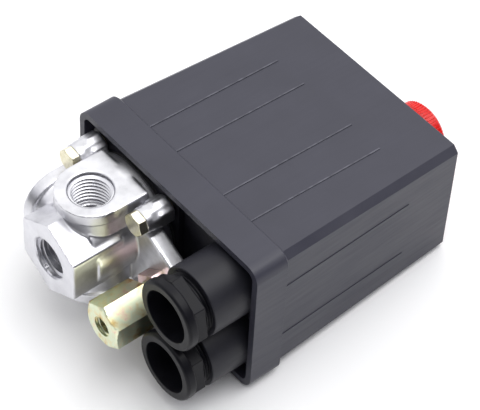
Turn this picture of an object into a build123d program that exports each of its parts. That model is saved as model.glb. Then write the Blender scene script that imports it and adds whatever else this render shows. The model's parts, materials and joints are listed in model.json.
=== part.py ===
from build123d import *
import os
from math import atan2, degrees, pi, radians, sin, sqrt

# Four-way pressure switch of a small air compressor, lying on its wide side.
# +X runs along the switch from the manifold to the knob, +Z is up, z = 0 is the surface under
# the cover's rim, and the origin is under the middle of the overall box. All sizes are in mm.

os.makedirs("parts", exist_ok=True)

# ---------------------------------------------------------------- driving sizes
# Cover
cover_width = 81.5
cover_height = 52.0
cover_length = 80.6
cover_wall = 2.2
skirt_length = 11.7
skirt_corner = 4.8
skirt_step = 1.6
body_lean = 2.5              # each side leans in this far from the skirt to the far end
edge_chamfer = 2.1
end_round = 0.5
line_width = 0.45
line_rise = 0.2
line_length = 49.5
top_line_offsets = (-23.0, -10.7, 10.7, 23.0)
side_line_offsets = (-10.8, 10.8)

# Clearances
running_gap = 0.05           # radial, between a shaft and the hole that it turns or slides in
loose_gap = 0.3              # between pieces that are only laid in each other
hole_gap = 0.15              # radial, round a screw's shank

# Manifold
manifold_y = 16.4
manifold_rise = 1.5          # its axis above the cover's middle
manifold_reach = 29.8        # axial port's face, ahead of the rim
hex_flats = 24.3
hex_length = 17.8
port_bore_radius = 6.7
port_depth = 12.0
axial_port_depth = 10.4
port_chamfer = 0.5
passage_radius = 5.0
port_height = 19.3           # side ports' faces, from the axis
port_setback = 14.2          # side ports' axis, ahead of the rim
spanner_gap = 1.5            # between a side port's boss and the flats of a flange screw
boss_lip = 4.0
boss_neck_inset = 0.9
boss_back_setback = 1.9
body_radius = 13.2
flange_back = 1.0            # the flange's back face, inside the rim
flange_thickness = 5.0
flange_radius = 19.5
flange_pitch = 31.4          # square pattern of the flange screws
post_flats = 7.8
post_length = 7.5
collar_radius = 3.9
collar_length = 2.0
chamber_radius = 13.5
chamber_depth = 2.0
pilot_radius = 3.0
ear_thickness = 5.2
ear_setback = 2.0

# Flange screws
screw_radius = 2.0
screw_flats = 7.0
screw_head = 2.8

# Unloader valve
unloader_y = -8.8
unloader_z = 21.0
unloader_reach = 29.6
unloader_flats = 14.0
unloader_hex_length = 15.0
unloader_neck_radius = 5.0
unloader_tube_radius = 3.3
unloader_tube_depth = 11.0
unloader_nut_flats = 13.5
unloader_nut_length = 4.0
unloader_pin_radius = 1.4
unloader_spring_wire = 0.6

# Base plate and cable glands
base_pad = 2.0
base_thickness = 4.0
diaphragm_thickness = 1.0
diaphragm_margin = 1.05      # between the diaphragm's rim and the screw holes round it
gland_y = -27.4
gland_spacing = 22.9
gland_reach = 21.5
gland_ring_margin = 0.1       # of the ring over the sleeve
gland_ring_length = 3.2
gland_hex_length = 3.9
gland_hex_margin = 0.1        # of the hexagon's flats over the shank
gland_hex_turn = 21.0
gland_shank_radius = 9.5
gland_shank_length = 10.0
gland_wall = 1.2
gland_exposed = 2.0
gland_travel = 1.5
sleeve_wall = 1.6
sleeve_round = 0.4
seal_thickness = 4.0
seal_width = 3.5
washer_thickness = 0.8

# Piston and main lever
piston_radius = 8.0
piston_length = 12.0
button_radius = 1.5
button_height = 1.2
guide_height = 4.0
lever_thickness = 1.5
lever_gap = 0.15
lever_angle = 3.0
pivot_y = 31.5
pivot_rise = 4.0             # pivot above the lever's underside
pivot_radius = 1.5
lever_step_y = 4.5
lever_end_y = -14.3

# Lever frame
frame_thickness = 1.5
frame_gap = 0.9              # between the lever and the frame's side walls
frame_height = 46.0
bridge_thickness = 2.5
bridge_end_y = -17.5
earth_row_gap = 7.7          # earth screw, above the lower row of flange screws

# Range screw, seat and spring
range_screw_radius = 4.0
range_pitch = 1.25
range_head_flats = 10.0
range_head = 4.5
range_seat_radius = 8.6
range_seat_thickness = 2.0
range_spring_radius = 6.8
range_spring_wire = 1.6
range_spring_turns = 7

# Differential stud, spring and nut
differential_y = 0.0
differential_radius = 2.0
differential_spring_radius = 3.6
differential_spring_wire = 0.8
differential_spring_turns = 6
differential_spring_length = 10.5
differential_nut_flats = 7.0
differential_nut = 3.2
differential_stud_end = 38.5  # above the frame's plate

# Contacts and terminals
terminal_margin = 1.6         # strip left over round the screw head and the contact
terminal_height = 12.0
terminal_span = 42.0
terminal_offsets = (-18.0, -8.0, 8.0, 18.0)
strip_thickness = 1.0
strip_width = 6.2
contact_radius = 1.2
contact_inset = 0.9            # from the contact's rim to the end of its strip
contact_height = 0.9
contact_gap = 0.1
bridge_contact = 1.0
carrier_height = 4.6
terminal_screw_radius = 1.5
terminal_head_radius = 2.3
terminal_head = 2.2

# Knob
knob_y = -10.4
knob_reach = 13.8
knob_radius = 9.9
knob_waist_radius = 8.2
knob_travel = 6.0
knob_tooth = 0.25
knob_teeth = 60
stem_radius = 3.0
stem_foot_radius = 4.5
stem_foot = 2.0
stem_foot_gap = 0.5

# Cover screw
cover_screw_y = 4.0
cover_screw_radius = 2.0
cover_screw_head_radius = 3.8
cover_screw_head = 2.4
standoff_flats = 7.0

# ---------------------------------------------------------------- places worked out from them
flange_half = flange_pitch / 2
boss_radius = flange_half - screw_flats / 2 - spanner_gap
diaphragm_radius = flange_half * sqrt(2) - screw_radius - hole_gap - diaphragm_margin
lever_half_width = flange_half - screw_radius - loose_gap - frame_thickness - frame_gap
rim_x = (manifold_reach - cover_length - knob_reach) / 2
end_x = rim_x + cover_length
mid_z = cover_height / 2
manifold_z = mid_z + manifold_rise
body_x = rim_x + skirt_length
body_length = cover_length - skirt_length
body_width = cover_width - 2 * skirt_step
body_height = cover_height - 2 * skirt_step
body_draft = degrees(atan2(body_lean, body_length))
inner_width = cover_width - 2 * cover_wall
inner_height = cover_height - 2 * cover_wall

flange_x = rim_x + flange_back
pad_x = flange_x + diaphragm_thickness
plate_x = pad_x + base_pad
inside_x = plate_x + base_thickness
post_x = flange_x - post_length
head_x = post_x - collar_length
ear_x = rim_x - ear_setback - ear_thickness
port_x = rim_x - port_setback
axial_x = rim_x - manifold_reach

gland_bore_radius = gland_shank_radius - gland_wall
gland_hex_flats = 2 * (gland_shank_radius + gland_hex_margin)
seal_bore_radius = gland_shank_radius - seal_width
sleeve_radius = gland_shank_radius + sleeve_wall
gland_ring_radius = sleeve_radius + gland_ring_margin
gland_x = rim_x - gland_reach
gland_zs = {"upper": mid_z + gland_spacing / 2, "lower": mid_z - gland_spacing / 2}
gland_hex_x = gland_x + gland_ring_length
gland_shank_x = gland_hex_x + gland_hex_length
sleeve_x = gland_shank_x + gland_exposed
gland_end_x = gland_shank_x + gland_shank_length
washer_x = gland_end_x
seal_x = washer_x + washer_thickness

guide_radius = piston_radius + 2.0
piston_x = pad_x + lever_gap
button_x = piston_x + piston_length
lever_x = button_x + button_height + lever_gap
pivot_x = lever_x + pivot_rise
frame_half = lever_half_width + frame_gap
frame_x = inside_x
frame_top_x = frame_x + frame_height
bridge_x = frame_top_x - bridge_thickness

strip_x = inside_x + terminal_height
contact_x = strip_x + strip_thickness
moving_x = contact_x + contact_height + contact_gap
carrier_x = moving_x + bridge_contact
upper_lever_x = carrier_x + carrier_height
terminal_length = 2 * terminal_head_radius + 2 * contact_radius + terminal_margin
terminal_y = unloader_y - unloader_pin_radius - loose_gap - terminal_length / 2
contact_y = terminal_y + terminal_length / 2 - contact_radius - contact_inset
terminal_screw_y = terminal_y - terminal_length / 2 + terminal_head_radius + 0.1

lever_lift = (pivot_y - lever_end_y) * sin(radians(lever_angle))
stem_foot_x = upper_lever_x + lever_thickness + lever_lift + stem_foot_gap + knob_travel

differential_x = upper_lever_x + lever_thickness
differential_nut_x = differential_x + differential_spring_length
seat_x = (lever_x + lever_thickness + bridge_x) / 2 + 6.0
range_head_x = frame_top_x + 5.0


def hexagon(flats, turn=30):
    RegularPolygon(flats / 2, 6, major_radius=False, rotation=turn)


def along_x(x, y=0.0, z=0.0):
    """A plane across the switch at x, with its middle at (y, z): its own x is +Y, its own y is +Z."""
    return Plane(origin=(x, y, z), x_dir=(0, 1, 0), z_dir=(1, 0, 0))


def coil(plane, radius, wire, turns, length):
    """A compression spring standing on a plane, with its wire clear of both ends."""
    rise = length - wire - 2 * lever_gap
    start = plane.offset(wire / 2 + lever_gap).origin
    with BuildPart() as spring:
        with BuildLine() as wire_line:
            Helix(pitch=rise / turns, height=rise, radius=radius, center=start, direction=plane.z_dir)
        with BuildSketch(Plane(origin=wire_line.line @ 0, z_dir=wire_line.line % 0)):
            Circle(wire / 2)
        sweep(is_frenet=True)
    return spring


# ---------------------------------------------------------------- cover
with BuildPart() as cover:
    with BuildSketch(along_x(rim_x, 0, mid_z)):
        RectangleRounded(cover_width, cover_height, skirt_corner)
    extrude(amount=skirt_length)
    skirt_front = cover.faces().sort_by(Axis.X)[-1]
    chamfer(skirt_front.edges(), 0.5)
    for outline_x, lean in ((body_x, 0.0), (end_x, body_lean)):
        with BuildSketch(along_x(outline_x, 0, mid_z)) as body_outline:
            Rectangle(body_width - 2 * lean, body_height - 2 * lean)
            chamfer(body_outline.vertices(), edge_chamfer)
    loft(ruled=True)
    fillet(cover.faces().sort_by(Axis.X)[-1].edges(), end_round)
    with BuildSketch(along_x(rim_x, 0, mid_z)):
        RectangleRounded(inner_width, inner_height, skirt_corner - cover_wall)
    extrude(amount=max(inside_x - rim_x, skirt_length - cover_wall), mode=Mode.SUBTRACT)
    with BuildSketch(along_x(body_x - cover_wall, 0, mid_z)) as cavity_outline:
        Rectangle(body_width - 2 * cover_wall, body_height - 2 * cover_wall)
        chamfer(cavity_outline.vertices(), edge_chamfer / 2)
    extrude(amount=body_length, taper=body_draft, mode=Mode.SUBTRACT)
    line_x = body_x + line_length / 2
    line_lean = body_lean * line_length / 2 / body_length
    line_depth = 1.0
    for side in (-1, 1):
        top = side * (body_height / 2 - line_lean + line_rise - line_depth / 2)
        for offset_y in top_line_offsets:
            with Locations(Location((line_x, offset_y, mid_z + top), (0, side * body_draft, 0))):
                Box(line_length, line_width, line_depth)
        flank = side * (body_width / 2 - line_lean + line_rise - line_depth / 2)
        for offset_z in side_line_offsets:
            with Locations(Location((line_x, flank, mid_z + offset_z), (0, 0, -side * body_draft))):
                Box(line_length, line_depth, line_width)
    with BuildSketch(along_x(end_x - 2 * cover_wall)):
        with Locations((knob_y, mid_z)):
            Circle(knob_radius + loose_gap)
        with Locations((cover_screw_y, mid_z)):
            Circle(cover_screw_radius + hole_gap)
    extrude(amount=4 * cover_wall, mode=Mode.SUBTRACT)
cover.part.label = "cover"
export_step(cover.part, "parts/cover.step")

# ---------------------------------------------------------------- manifold
hub = along_x(axial_x, manifold_y, manifold_z)
hub_length = flange_x - axial_x
flange_corners = GridLocations(flange_pitch, flange_pitch, 2, 2)
side_directions = {"up": (0, 0, 1), "side": (0, 1, 0), "down": (0, 0, -1)}
with BuildPart() as manifold:
    with BuildSketch(hub):
        hexagon(hex_flats)
    extrude(amount=hex_length)
    with BuildSketch(hub.offset(hex_length / 2)):
        Circle(body_radius)
    extrude(amount=hub_length - hex_length / 2)
    with BuildSketch(hub.offset(hub_length - flange_thickness)):
        Circle(flange_radius)
        Rectangle(flange_pitch, flange_pitch)
        with flange_corners:
            hexagon(post_flats)
    extrude(amount=flange_thickness)
    with BuildSketch(hub.offset(hub_length - post_length)) as post_outline:
        with flange_corners:
            RegularPolygon(post_flats / 2, 8, major_radius=False, rotation=22.5)
    extrude(amount=post_length)
    with BuildSketch(hub.offset(hub_length - post_length - collar_length)):
        with flange_corners:
            Circle(collar_radius)
    extrude(amount=collar_length)
    with BuildSketch(along_x(ear_x)):
        with BuildLine():
            corner_y = manifold_y - flange_half
            corner_z = manifold_z + flange_half
            foot_z = manifold_z - flange_half
            Polyline(
                (manifold_y - 8, corner_z - post_flats / 2),
                (corner_y - 3.0, corner_z - post_flats / 2 - 1.6),
                (unloader_y - 5.2, unloader_z + 11.0),
                (unloader_y - 6.8, unloader_z + 7.5),
                (unloader_y - 6.8, unloader_z - 6.5),
                (unloader_y - 3.4, unloader_z - 10.5),
                (corner_y - 1.0, foot_z - 2.0),
                (manifold_y - 8, foot_z),
                close=True,
            )
        make_face()
    extrude(amount=ear_thickness)
    for direction in side_directions.values():
        boss = Plane(origin=(port_x, manifold_y, manifold_z), x_dir=(1, 0, 0), z_dir=direction)
        lip_back = port_setback - boss_back_setback
        with BuildSketch(boss.offset(port_height - boss_lip)):
            Circle(boss_radius)
            with Locations((lip_back / 2, 0)):
                Rectangle(lip_back, 2 * boss_radius)
        extrude(amount=boss_lip)
        neck_radius = boss_radius - boss_neck_inset
        with BuildSketch(boss):
            Circle(neck_radius)
            with Locations(((lip_back - boss_neck_inset) / 2, 0)):
                Rectangle(lip_back - boss_neck_inset, 2 * neck_radius)
        extrude(amount=port_height - boss_lip)
    ports = [(hub, axial_port_depth)]
    for direction in side_directions.values():
        mouth = Vector(*direction) * port_height
        port_origin = Vector(port_x, manifold_y, manifold_z) + mouth
        ports.append((Plane(origin=port_origin, x_dir=(1, 0, 0), z_dir=mouth * -1), port_depth))
    for port, depth in ports:
        with BuildSketch(port):
            Circle(port_bore_radius)
        extrude(amount=depth, mode=Mode.SUBTRACT)
        with BuildSketch(port):
            Circle(port_bore_radius + port_chamfer)
        extrude(amount=port_chamfer, taper=45, mode=Mode.SUBTRACT)
        with BuildSketch(port):
            Circle(passage_radius)
        extrude(amount=port_height, mode=Mode.SUBTRACT)
    with BuildSketch(hub.offset(axial_port_depth)):
        Circle(pilot_radius)
    extrude(amount=hub_length, mode=Mode.SUBTRACT)
    with BuildSketch(hub.offset(hub_length - chamber_depth)):
        Circle(chamber_radius)
    extrude(amount=chamber_depth, mode=Mode.SUBTRACT)
    with BuildSketch(hub.offset(hub_length - post_length - collar_length)):
        with flange_corners:
            Circle(screw_radius + hole_gap)
    extrude(amount=post_length + collar_length, mode=Mode.SUBTRACT)
    with BuildSketch(along_x(ear_x)):
        with Locations((unloader_y, unloader_z)):
            Circle(unloader_neck_radius)
    extrude(amount=ear_thickness, mode=Mode.SUBTRACT)
manifold.part.label = "manifold"
export_step(manifold.part, "parts/manifold.step")

# ---------------------------------------------------------------- flange screws
with BuildPart() as flange_screws:
    with BuildSketch(along_x(head_x - screw_head, manifold_y, manifold_z)):
        with flange_corners:
            hexagon(screw_flats, 12)
    extrude(amount=screw_head)
    with BuildSketch(along_x(head_x - screw_head, manifold_y, manifold_z)):
        with flange_corners:
            Circle(screw_flats / 2 - 0.2)
    extrude(amount=screw_head, taper=-60, mode=Mode.INTERSECT)
    with BuildSketch(along_x(head_x, manifold_y, manifold_z)):
        with flange_corners:
            Circle(screw_radius)
    extrude(amount=frame_x + frame_thickness + 3.0 - head_x)
flange_screws.part.label = "flange_screws"
export_step(flange_screws.part, "parts/flange_screws.step")

# ---------------------------------------------------------------- diaphragm and piston
with BuildPart() as diaphragm:
    with BuildSketch(along_x(flange_x, manifold_y, manifold_z)):
        Circle(diaphragm_radius)
    extrude(amount=diaphragm_thickness)
diaphragm.part.label = "diaphragm"
export_step(diaphragm.part, "parts/diaphragm.step")

with BuildPart() as diaphragm_piston:
    with BuildSketch(along_x(piston_x, manifold_y, manifold_z)):
        Circle(piston_radius)
    extrude(amount=piston_length)
    with BuildSketch(along_x(button_x, manifold_y, manifold_z)):
        Circle(button_radius)
    extrude(amount=button_height)
diaphragm_piston.part.label = "diaphragm_piston"
export_step(diaphragm_piston.part, "parts/diaphragm_piston.step")

# ---------------------------------------------------------------- base with its gland sleeves
sleeve_spots = [(gland_y, z) for z in gland_zs.values()]
with BuildPart() as base:
    with BuildSketch(along_x(plate_x, 0, mid_z)):
        RectangleRounded(
            inner_width - 2 * loose_gap,
            inner_height - 2 * loose_gap,
            skirt_corner - cover_wall - loose_gap,
        )
    extrude(amount=base_thickness)
    with BuildSketch(along_x(pad_x, manifold_y, manifold_z)):
        RectangleRounded(flange_pitch + 9.0, flange_pitch + 9.0, 4.0)
    extrude(amount=base_pad)
    with BuildSketch(along_x(sleeve_x)):
        with Locations(*sleeve_spots):
            Circle(sleeve_radius)
    extrude(amount=inside_x - sleeve_x)
    fillet(base.edges().group_by(Axis.X)[0], sleeve_round)
    with BuildSketch(along_x(inside_x, manifold_y, manifold_z)):
        Circle(guide_radius)
    extrude(amount=guide_height)
    with BuildSketch(along_x(sleeve_x)):
        with Locations(*sleeve_spots):
            Circle(gland_shank_radius + running_gap)
    extrude(amount=seal_x + seal_thickness - sleeve_x, mode=Mode.SUBTRACT)
    with BuildSketch(along_x(sleeve_x)):
        with Locations(*sleeve_spots):
            Circle(gland_bore_radius)
    extrude(amount=inside_x - sleeve_x, mode=Mode.SUBTRACT)
    with BuildSketch(along_x(pad_x, manifold_y, manifold_z)):
        Circle(piston_radius + running_gap)
        with flange_corners:
            Circle(screw_radius + hole_gap)
    extrude(amount=cover_length / 2, mode=Mode.SUBTRACT)
    with BuildSketch(along_x(pad_x)):
        with Locations((unloader_y, unloader_z)):
            Circle(unloader_pin_radius + running_gap)
    extrude(amount=cover_length / 2, mode=Mode.SUBTRACT)
base.part.label = "base"
export_step(base.part, "parts/base.step")

# ---------------------------------------------------------------- cable glands
for place, gland_z in gland_zs.items():
    with BuildPart() as gland_nut:
        with BuildSketch(along_x(gland_x, gland_y, gland_z)):
            Circle(gland_ring_radius)
        extrude(amount=gland_ring_length)
        ring_edges = gland_nut.edges().group_by(Axis.X)
        fillet(ring_edges[0], 1.0)
        fillet(gland_nut.edges().group_by(Axis.X)[-1], 0.6)
        with BuildSketch(along_x(gland_hex_x, gland_y, gland_z)):
            hexagon(gland_hex_flats, gland_hex_turn)
        extrude(amount=gland_hex_length)
        with BuildSketch(along_x(gland_shank_x, gland_y, gland_z)):
            Circle(gland_shank_radius)
        extrude(amount=gland_shank_length)
        with BuildSketch(along_x(gland_x, gland_y, gland_z)):
            Circle(gland_bore_radius)
        extrude(amount=gland_end_x - gland_x, mode=Mode.SUBTRACT)
    gland_nut.part.label = "gland_nut_" + place
    export_step(gland_nut.part, "parts/gland_nut_" + place + ".step")

    with BuildPart() as gland_washer:
        with BuildSketch(along_x(washer_x, gland_y, gland_z)):
            Circle(gland_shank_radius)
            Circle(seal_bore_radius, mode=Mode.SUBTRACT)
        extrude(amount=washer_thickness)
    gland_washer.part.label = "gland_washer_" + place
    export_step(gland_washer.part, "parts/gland_washer_" + place + ".step")

    with BuildPart() as gland_seal:
        with BuildSketch(along_x(seal_x, gland_y, gland_z)):
            Circle(gland_shank_radius)
            Circle(seal_bore_radius, mode=Mode.SUBTRACT)
        extrude(amount=seal_thickness)
    gland_seal.part.label = "gland_seal_" + place
    export_step(gland_seal.part, "parts/gland_seal_" + place + ".step")

# ---------------------------------------------------------------- unloader valve
unloader_x = rim_x - unloader_reach
unloader_nut_x = ear_x - unloader_nut_length
seat_wall_x = unloader_x + unloader_tube_depth
chamber_x = seat_wall_x + 2.0
unloader_back_x = ear_x + ear_thickness
with BuildPart() as unloader_body:
    with BuildSketch(along_x(unloader_x, unloader_y, unloader_z)):
        hexagon(unloader_flats)
    extrude(amount=unloader_hex_length)
    with BuildSketch(along_x(unloader_x, unloader_y, unloader_z)):
        Circle(unloader_flats / 2 - 0.5)
    extrude(amount=unloader_hex_length, taper=-60, mode=Mode.INTERSECT)
    with BuildSketch(along_x(unloader_x, unloader_y, unloader_z)):
        Circle(unloader_neck_radius)
    extrude(amount=unloader_back_x - unloader_x)
    with BuildSketch(along_x(unloader_x, unloader_y, unloader_z)):
        Circle(unloader_tube_radius)
    extrude(amount=unloader_tube_depth, mode=Mode.SUBTRACT)
    with BuildSketch(along_x(chamber_x, unloader_y, unloader_z)):
        Circle(unloader_tube_radius)
    extrude(amount=unloader_back_x - chamber_x, mode=Mode.SUBTRACT)
    with BuildSketch(along_x(unloader_x, unloader_y, unloader_z)):
        Circle(unloader_pin_radius / 2)
    extrude(amount=unloader_back_x - unloader_x, mode=Mode.SUBTRACT)
unloader_body.part.label = "unloader_body"
export_step(unloader_body.part, "parts/unloader_body.step")

with BuildPart() as unloader_nut:
    with BuildSketch(along_x(unloader_nut_x, unloader_y, unloader_z)):
        hexagon(unloader_nut_flats, 22)
        Circle(unloader_neck_radius, mode=Mode.SUBTRACT)
    extrude(amount=unloader_nut_length)
unloader_nut.part.label = "unloader_nut"
export_step(unloader_nut.part, "parts/unloader_nut.step")

pin_collar_x = chamber_x + 6.0
with BuildPart() as unloader_pin:
    with BuildSketch(along_x(chamber_x + lever_gap, unloader_y, unloader_z)):
        Circle(unloader_pin_radius)
    extrude(amount=upper_lever_x - lever_gap - chamber_x - lever_gap)
    with BuildSketch(along_x(pin_collar_x, unloader_y, unloader_z)):
        Circle(unloader_tube_radius - loose_gap)
    extrude(amount=1.0)
unloader_pin.part.label = "unloader_pin"
export_step(unloader_pin.part, "parts/unloader_pin.step")

unloader_spring = coil(
    along_x(chamber_x, unloader_y, unloader_z),
    (unloader_pin_radius + unloader_tube_radius) / 2,
    unloader_spring_wire,
    4,
    pin_collar_x - chamber_x,
)
unloader_spring.part.label = "unloader_spring"
export_step(unloader_spring.part, "parts/unloader_spring.step")

# ---------------------------------------------------------------- lever frame
earth_y = manifold_y - guide_radius - screw_flats / 2
earth_z = manifold_z - flange_half + earth_row_gap
frame_wall_low_y = lever_step_y + 5.0
pivot_end_y = pivot_y + 3.5
with BuildPart() as lever_frame:
    with BuildSketch(along_x(frame_x, manifold_y, manifold_z)):
        Rectangle(flange_pitch + 8.0, flange_pitch + 7.0)
        with flange_corners:
            Circle(screw_radius, mode=Mode.SUBTRACT)
        with Locations((differential_y - manifold_y, 0)):
            Circle(differential_radius, mode=Mode.SUBTRACT)
        with Locations((earth_y - manifold_y, earth_z - manifold_z)):
            Circle(screw_radius, mode=Mode.SUBTRACT)
    extrude(amount=frame_thickness)
    for side in (-1, 1):
        wall_z = manifold_z + side * (frame_half + frame_thickness / 2)
        with BuildSketch(Plane.XY.offset(wall_z - frame_thickness / 2)):
            with BuildLine():
                Polyline(
                    (frame_x, frame_wall_low_y),
                    (frame_top_x, frame_wall_low_y),
                    (frame_top_x, manifold_y + 9.0),
                    (pivot_x + 6.0, pivot_end_y),
                    (frame_x, pivot_end_y),
                    close=True,
                )
            make_face()
            with Locations((pivot_x, pivot_y)):
                Circle(pivot_radius, mode=Mode.SUBTRACT)
        extrude(amount=frame_thickness)
    with BuildSketch(along_x(bridge_x)):
        bridge_high_y = manifold_y + 9.0
        with Locations(((frame_wall_low_y + bridge_high_y) / 2, manifold_z)):
            Rectangle(bridge_high_y - frame_wall_low_y, 2 * (frame_half + frame_thickness))
        with Locations(((bridge_end_y + bridge_high_y) / 2, mid_z)):
            Rectangle(bridge_high_y - bridge_end_y, 14.0)
        with Locations((manifold_y, manifold_z)):
            Circle(range_screw_radius + running_gap, mode=Mode.SUBTRACT)
        with Locations((knob_y, mid_z)):
            Circle(stem_radius + running_gap, mode=Mode.SUBTRACT)
    extrude(amount=bridge_thickness)
    with BuildSketch(along_x(frame_x, manifold_y, manifold_z)):
        Circle(guide_radius + loose_gap)
    extrude(amount=guide_height + loose_gap, mode=Mode.SUBTRACT)
lever_frame.part.label = "lever_frame"
export_step(lever_frame.part, "parts/lever_frame.step")

with BuildPart() as earth_screw:
    with BuildSketch(along_x(frame_x + frame_thickness, earth_y, earth_z)):
        hexagon(screw_flats)
    extrude(amount=screw_head)
    with BuildSketch(along_x(frame_x, earth_y, earth_z)):
        Circle(screw_radius)
    extrude(amount=frame_thickness)
earth_screw.part.label = "earth_screw"
export_step(earth_screw.part, "parts/earth_screw.step")

pin_half = frame_half + frame_thickness + 1.0
with BuildPart() as lever_pivot_pin:
    with BuildSketch(Plane(origin=(pivot_x, pivot_y, manifold_z - pin_half))):
        Circle(pivot_radius)
    extrude(amount=2 * pin_half)
lever_pivot_pin.part.label = "lever_pivot_pin"
export_step(lever_pivot_pin.part, "parts/lever_pivot_pin.step")

# ---------------------------------------------------------------- main lever
with BuildPart() as main_lever:
    with BuildSketch(Plane.XY.offset(manifold_z - lever_half_width)):
        with BuildLine():
            Polyline(
                (lever_x, pivot_y + 2.5),
                (lever_x, lever_step_y),
                (upper_lever_x, lever_step_y),
                (upper_lever_x, lever_end_y),
                (upper_lever_x + lever_thickness, lever_end_y),
                (upper_lever_x + lever_thickness, lever_step_y + lever_thickness),
                (lever_x + lever_thickness, lever_step_y + lever_thickness),
                (lever_x + lever_thickness, pivot_y + 2.5),
                close=True,
            )
        make_face()
    extrude(amount=2 * lever_half_width)
    for side in (-1, 1):
        ear_low_z = manifold_z + side * (lever_half_width - lever_thickness / 2) - lever_thickness / 2
        with BuildSketch(Plane.XY.offset(ear_low_z)):
            with Locations(((lever_x + pivot_x + 2.5) / 2, pivot_y)):
                Rectangle(pivot_x + 2.5 - lever_x, 5.0)
            with Locations((pivot_x, pivot_y)):
                Circle(pivot_radius + running_gap, mode=Mode.SUBTRACT)
        extrude(amount=lever_thickness)
    with BuildSketch(along_x(upper_lever_x)):
        with Locations((differential_y, manifold_z)):
            SlotOverall(2 * (differential_radius + 1.4), 2 * (differential_radius + 0.6))
    extrude(amount=lever_thickness, mode=Mode.SUBTRACT)
main_lever.part.label = "main_lever"
export_step(main_lever.part, "parts/main_lever.step")

# ---------------------------------------------------------------- range adjustment
range_floor_x = lever_x + lever_thickness
range_spring = coil(
    along_x(range_floor_x, manifold_y, manifold_z),
    range_spring_radius,
    range_spring_wire,
    range_spring_turns,
    seat_x - range_floor_x,
)
range_spring.part.label = "range_spring"
export_step(range_spring.part, "parts/range_spring.step")

with BuildPart() as spring_plate:
    with BuildSketch(along_x(seat_x, manifold_y, manifold_z)):
        Circle(range_seat_radius)
    extrude(amount=range_seat_thickness)
spring_plate.part.label = "spring_plate"
export_step(spring_plate.part, "parts/spring_plate.step")

range_tip_x = seat_x + range_seat_thickness
with BuildPart() as range_screw:
    with BuildSketch(along_x(range_tip_x, manifold_y, manifold_z)):
        Circle(range_screw_radius)
    extrude(amount=range_head_x - range_tip_x)
    with BuildSketch(along_x(range_head_x, manifold_y, manifold_z)):
        hexagon(range_head_flats)
    extrude(amount=range_head)
    with BuildSketch(along_x(range_head_x + range_head / 2, manifold_y, manifold_z)):
        Rectangle(range_head_flats * 2, 1.2)
    extrude(amount=range_head, mode=Mode.SUBTRACT)
range_screw.part.label = "range_screw"
export_step(range_screw.part, "parts/range_screw.step")

# ---------------------------------------------------------------- differential adjustment
with BuildPart() as differential_stud:
    with BuildSketch(along_x(frame_x, differential_y, manifold_z)):
        Circle(differential_radius)
    extrude(amount=differential_stud_end)
differential_stud.part.label = "differential_stud"
export_step(differential_stud.part, "parts/differential_stud.step")

differential_spring = coil(
    along_x(differential_x, differential_y, manifold_z),
    differential_spring_radius,
    differential_spring_wire,
    differential_spring_turns,
    differential_spring_length,
)
differential_spring.part.label = "differential_spring"
export_step(differential_spring.part, "parts/differential_spring.step")

with BuildPart() as differential_washer:
    with BuildSketch(along_x(differential_nut_x, differential_y, manifold_z)):
        Circle(differential_spring_radius + 1.0)
        Circle(differential_radius + running_gap, mode=Mode.SUBTRACT)
    extrude(amount=washer_thickness)
differential_washer.part.label = "differential_washer"
export_step(differential_washer.part, "parts/differential_washer.step")

with BuildPart() as differential_nut_piece:
    with BuildSketch(along_x(differential_nut_x + washer_thickness, differential_y, manifold_z)):
        hexagon(differential_nut_flats)
        Circle(differential_radius + running_gap, mode=Mode.SUBTRACT)
    extrude(amount=differential_nut)
differential_nut_piece.part.label = "differential_nut"
export_step(differential_nut_piece.part, "parts/differential_nut.step")

# ---------------------------------------------------------------- terminals and contacts
with BuildPart() as terminal_block:
    with BuildSketch(along_x(inside_x, terminal_y, mid_z)):
        Rectangle(terminal_length, terminal_span)
    extrude(amount=terminal_height)
    with BuildSketch(along_x(inside_x, terminal_screw_y, mid_z)):
        with Locations(*[(0, offset_z) for offset_z in terminal_offsets]):
            Circle(terminal_screw_radius)
    extrude(amount=terminal_height, mode=Mode.SUBTRACT)
terminal_block.part.label = "terminal_block"
export_step(terminal_block.part, "parts/terminal_block.step")

with BuildPart() as fixed_contacts:
    with BuildSketch(along_x(strip_x, 0, mid_z)):
        with Locations(*[(terminal_y, offset_z) for offset_z in terminal_offsets]):
            Rectangle(terminal_length, strip_width)
        with Locations(*[(terminal_screw_y, offset_z) for offset_z in terminal_offsets]):
            Circle(terminal_screw_radius, mode=Mode.SUBTRACT)
    extrude(amount=strip_thickness)
    with BuildSketch(along_x(contact_x, contact_y, mid_z)):
        with Locations(*[(0, offset_z) for offset_z in terminal_offsets]):
            Circle(contact_radius)
    extrude(amount=contact_height)
fixed_contacts.part.label = "fixed_contacts"
export_step(fixed_contacts.part, "parts/fixed_contacts.step")

with BuildPart() as terminal_screws:
    with BuildSketch(along_x(inside_x + 1.0, terminal_screw_y, mid_z)):
        with Locations(*[(0, offset_z) for offset_z in terminal_offsets]):
            Circle(terminal_screw_radius)
    extrude(amount=contact_x - inside_x - 1.0)
    with BuildSketch(along_x(contact_x, terminal_screw_y, mid_z)):
        with Locations(*[(0, offset_z) for offset_z in terminal_offsets]):
            Circle(terminal_head_radius)
    extrude(amount=terminal_head)
    with BuildSketch(along_x(contact_x + terminal_head / 2, terminal_screw_y, mid_z)):
        with Locations(*[(0, offset_z) for offset_z in terminal_offsets]):
            Rectangle(0.8, 4 * terminal_head_radius)
    extrude(amount=terminal_head, mode=Mode.SUBTRACT)
terminal_screws.part.label = "terminal_screws"
export_step(terminal_screws.part, "parts/terminal_screws.step")

with BuildPart() as contact_carrier:
    with BuildSketch(along_x(carrier_x, contact_y, mid_z)):
        Rectangle(2 * contact_radius + 0.6, terminal_span - 1.0)
    extrude(amount=carrier_height)
contact_carrier.part.label = "contact_carrier"
export_step(contact_carrier.part, "parts/contact_carrier.step")

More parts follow.
